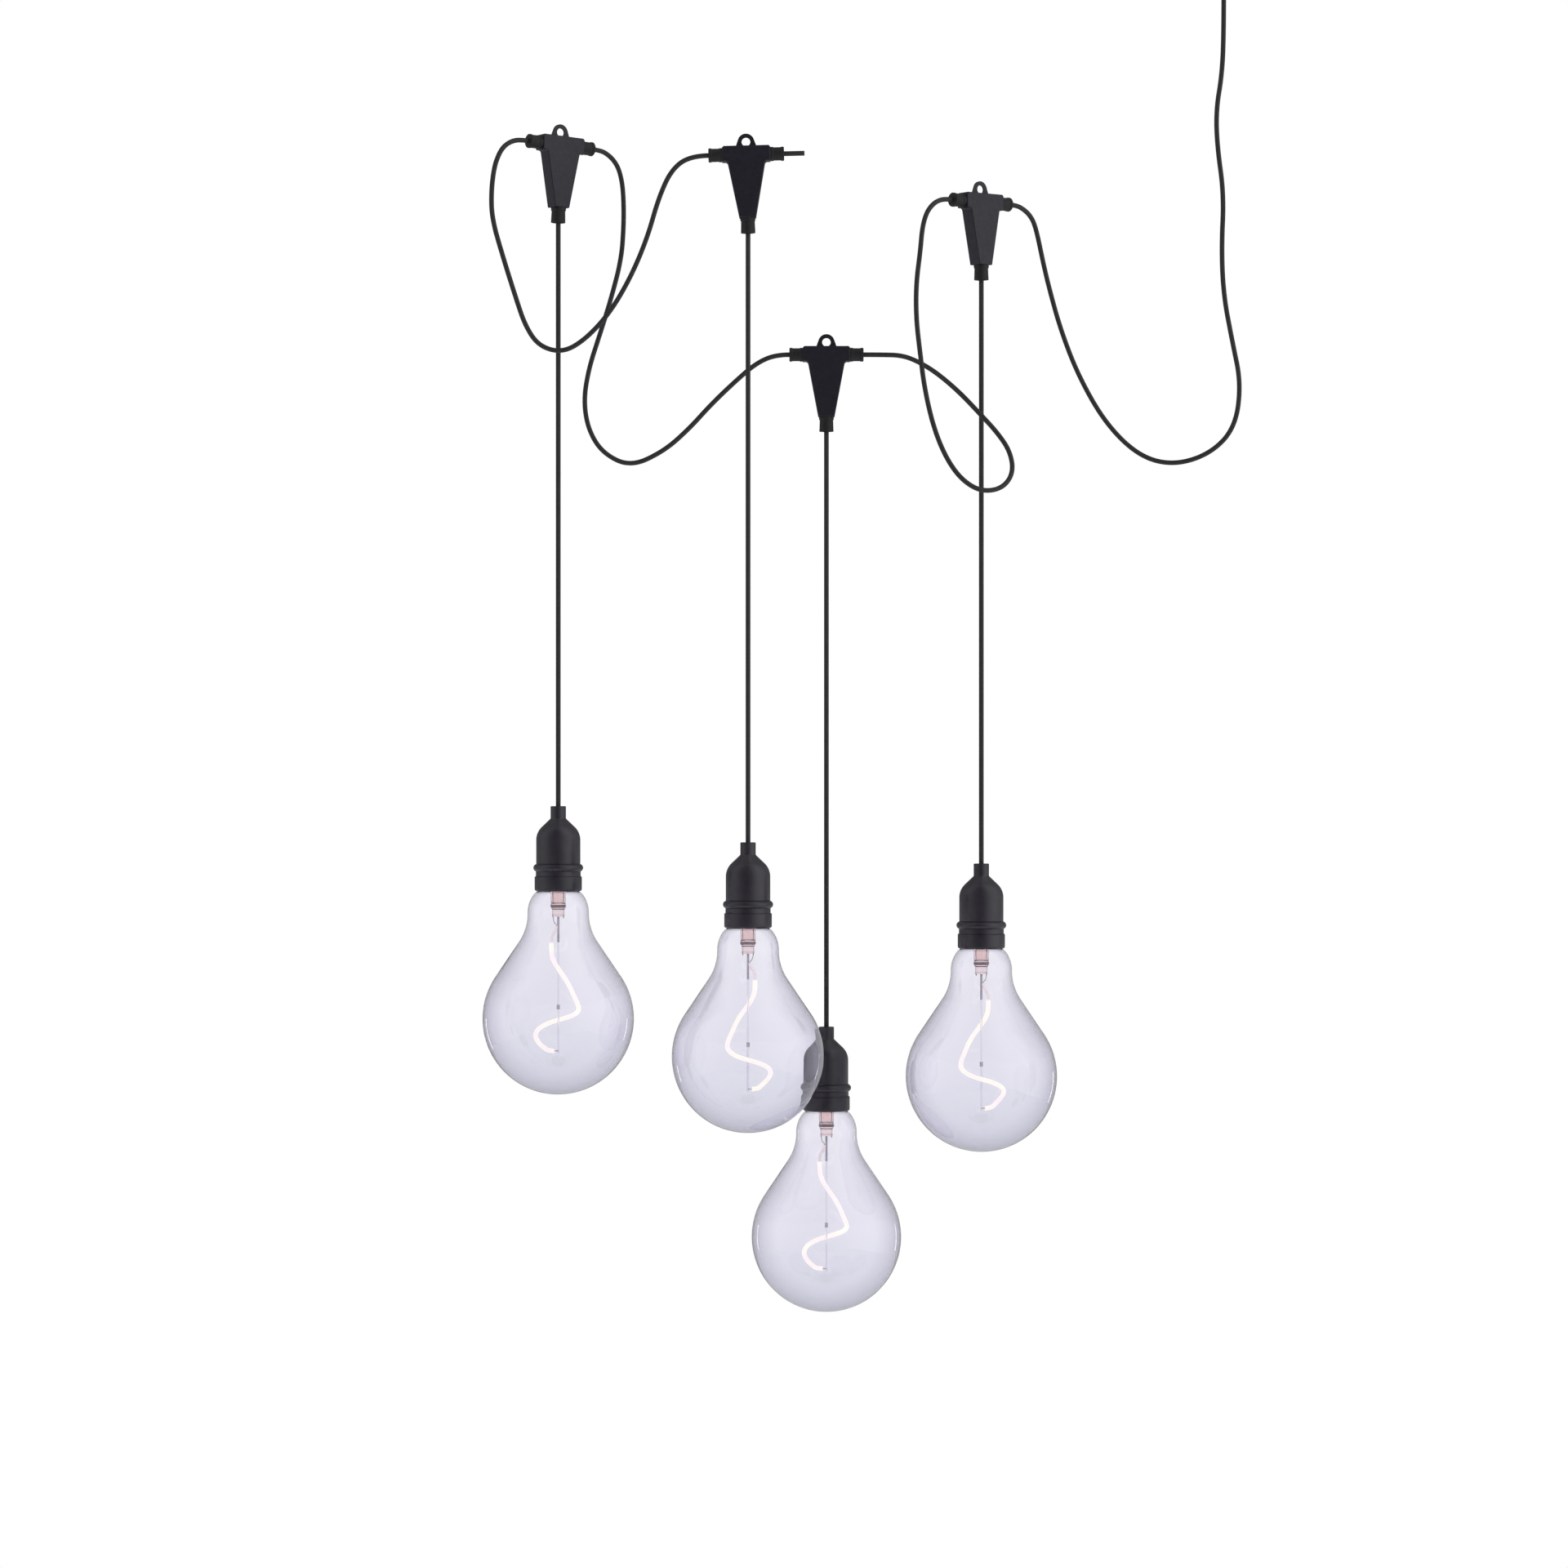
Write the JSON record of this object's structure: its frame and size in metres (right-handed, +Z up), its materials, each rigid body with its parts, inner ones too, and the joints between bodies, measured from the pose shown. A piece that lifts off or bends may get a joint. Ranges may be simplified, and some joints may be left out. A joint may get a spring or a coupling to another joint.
{
  "type": "pendant light",
  "caption": "String of giant globe light bulbs on drop cables from small tee housings, joined by one black cable to a ceiling cup.",
  "frame": {"origin": "middle of the ceiling face of the ceiling cup", "axes": "+Z up to the ceiling, -Y towards the viewer, +X to the viewer's right; the pendants hang on the -X side of the cup"},
  "size_m": [0.8535, 0.265, 1.4938],
  "materials": {
    "housing_black": "fine satin",
    "gland_black": "matt",
    "cable_black": "matt",
    "cup_black": "satin",
    "zinc_steel": "zinc plated",
    "holder_black": "satin",
    "insert_ivory": "matt",
    "contact_brass": "bright",
    "cap_nickel": "nickel plated",
    "smoked_glass": "clear with a faint lilac tint",
    "stem_glass": "clear with a copper tint",
    "filament_warm": "lit"
  },
  "bodies": {
    "ceiling_string": {"tee_1_front_shell": "housing_black", "tee_1_back_shell": "housing_black", "tee_2_front_shell": "housing_black", "tee_2_back_shell": "housing_black", "tee_3_front_shell": "housing_black", "tee_3_back_shell": "housing_black", "tee_4_front_shell": "housing_black", "tee_4_back_shell": "housing_black", "tee_side_glands": "gland_black", "tee_drop_glands": "gland_black", "cable_splices": "cable_black", "supply_cord": "cable_black", "link_cord_1_2": "cable_black", "link_cord_1_3": "cable_black", "link_cord_3_4": "cable_black", "tail_cord": "cable_black", "ceiling_cup": "cup_black", "ceiling_bracket": "zinc_steel", "ceiling_cord_grip": "gland_black", "ceiling_screws": "zinc_steel"},
    "pendant_1": {"drop_cord_1": "cable_black", "holder_dome_1": "holder_black", "holder_skirt_1": "holder_black", "holder_insert_1": "insert_ivory", "holder_contacts_1": "contact_brass"},
    "sealing_ring_1": {"seal_1": "gland_black"},
    "bulb_1": {"bulb_cap_1": "cap_nickel", "bulb_glass_1": "smoked_glass", "bulb_mount_1": "stem_glass", "filament_1": "filament_warm"},
    "pendant_2": {"drop_cord_2": "cable_black", "holder_dome_2": "holder_black", "holder_skirt_2": "holder_black", "holder_insert_2": "insert_ivory", "holder_contacts_2": "contact_brass"},
    "sealing_ring_2": {"seal_2": "gland_black"},
    "bulb_2": {"bulb_cap_2": "cap_nickel", "bulb_glass_2": "smoked_glass", "bulb_mount_2": "stem_glass", "filament_2": "filament_warm"},
    "pendant_3": {"drop_cord_3": "cable_black", "holder_dome_3": "holder_black", "holder_skirt_3": "holder_black", "holder_insert_3": "insert_ivory", "holder_contacts_3": "contact_brass"},
    "sealing_ring_3": {"seal_3": "gland_black"},
    "bulb_3": {"bulb_cap_3": "cap_nickel", "bulb_glass_3": "smoked_glass", "bulb_mount_3": "stem_glass", "filament_3": "filament_warm"},
    "pendant_4": {"drop_cord_4": "cable_black", "holder_dome_4": "holder_black", "holder_skirt_4": "holder_black", "holder_insert_4": "insert_ivory", "holder_contacts_4": "contact_brass"},
    "sealing_ring_4": {"seal_4": "gland_black"},
    "bulb_4": {"bulb_cap_4": "cap_nickel", "bulb_glass_4": "smoked_glass", "bulb_mount_4": "stem_glass", "filament_4": "filament_warm"}
  },
  "joints": [
    {"name": "pendant_swing_1", "type": "hinge", "parent": "ceiling_string", "child": "pendant_1", "pos_m": [-0.72679, -0.00154, -0.29195], "axis": [1, 0, 0], "range_deg": [-8, 20]},
    {"name": "bulb_turn_1", "type": "hinge", "parent": "pendant_1", "child": "sealing_ring_1", "pos_m": [-0.72679, -0.00154, -1.01195], "axis": [0, 0, -1], "range_deg": [0, 2160]},
    {"name": "bulb_travel_1", "type": "slide", "parent": "sealing_ring_1", "child": "bulb_1", "axis": [0, 0, -1], "range_m": [0, 0.02177]},
    {"name": "pendant_swing_2", "type": "hinge", "parent": "ceiling_string", "child": "pendant_2", "pos_m": [-0.51927, -0.04, -0.30798], "axis": [1, 0, 0], "range_deg": [-20, 0.8]},
    {"name": "bulb_turn_2", "type": "hinge", "parent": "pendant_2", "child": "sealing_ring_2", "pos_m": [-0.51927, -0.04, -1.02798], "axis": [0, 0, -1], "range_deg": [0, 2160]},
    {"name": "bulb_travel_2", "type": "slide", "parent": "sealing_ring_2", "child": "bulb_2", "axis": [0, 0, -1], "range_m": [0, 0.02177]},
    {"name": "pendant_swing_3", "type": "hinge", "parent": "ceiling_string", "child": "pendant_3", "pos_m": [-0.4334, 0.06, -0.5152], "axis": [1, 0, 0], "range_deg": [-0.8, 20]},
    {"name": "bulb_turn_3", "type": "hinge", "parent": "pendant_3", "child": "sealing_ring_3", "pos_m": [-0.4334, 0.06, -1.2352], "axis": [0, 0, -1], "range_deg": [0, 2160]},
    {"name": "bulb_travel_3", "type": "slide", "parent": "sealing_ring_3", "child": "bulb_3", "axis": [0, 0, -1], "range_m": [0, 0.02177]},
    {"name": "pendant_swing_4", "type": "hinge", "parent": "ceiling_string", "child": "pendant_4", "pos_m": [-0.26475, 0.00051, -0.3543], "axis": [1, 0, 0], "range_deg": [-8, 20]},
    {"name": "bulb_turn_4", "type": "hinge", "parent": "pendant_4", "child": "sealing_ring_4", "pos_m": [-0.26475, 0.00051, -1.0743], "axis": [0, 0, -1], "range_deg": [0, 2160]},
    {"name": "bulb_travel_4", "type": "slide", "parent": "sealing_ring_4", "child": "bulb_4", "axis": [0, 0, -1], "range_m": [0, 0.02177]}
  ],
  "couplings": [
    {"joint": "bulb_turn_1", "follows": "bulb_travel_1", "rad_per_m": 1731.4},
    {"joint": "bulb_turn_2", "follows": "bulb_travel_2", "rad_per_m": 1731.4},
    {"joint": "bulb_turn_3", "follows": "bulb_travel_3", "rad_per_m": 1731.4},
    {"joint": "bulb_turn_4", "follows": "bulb_travel_4", "rad_per_m": 1731.4}
  ]
}
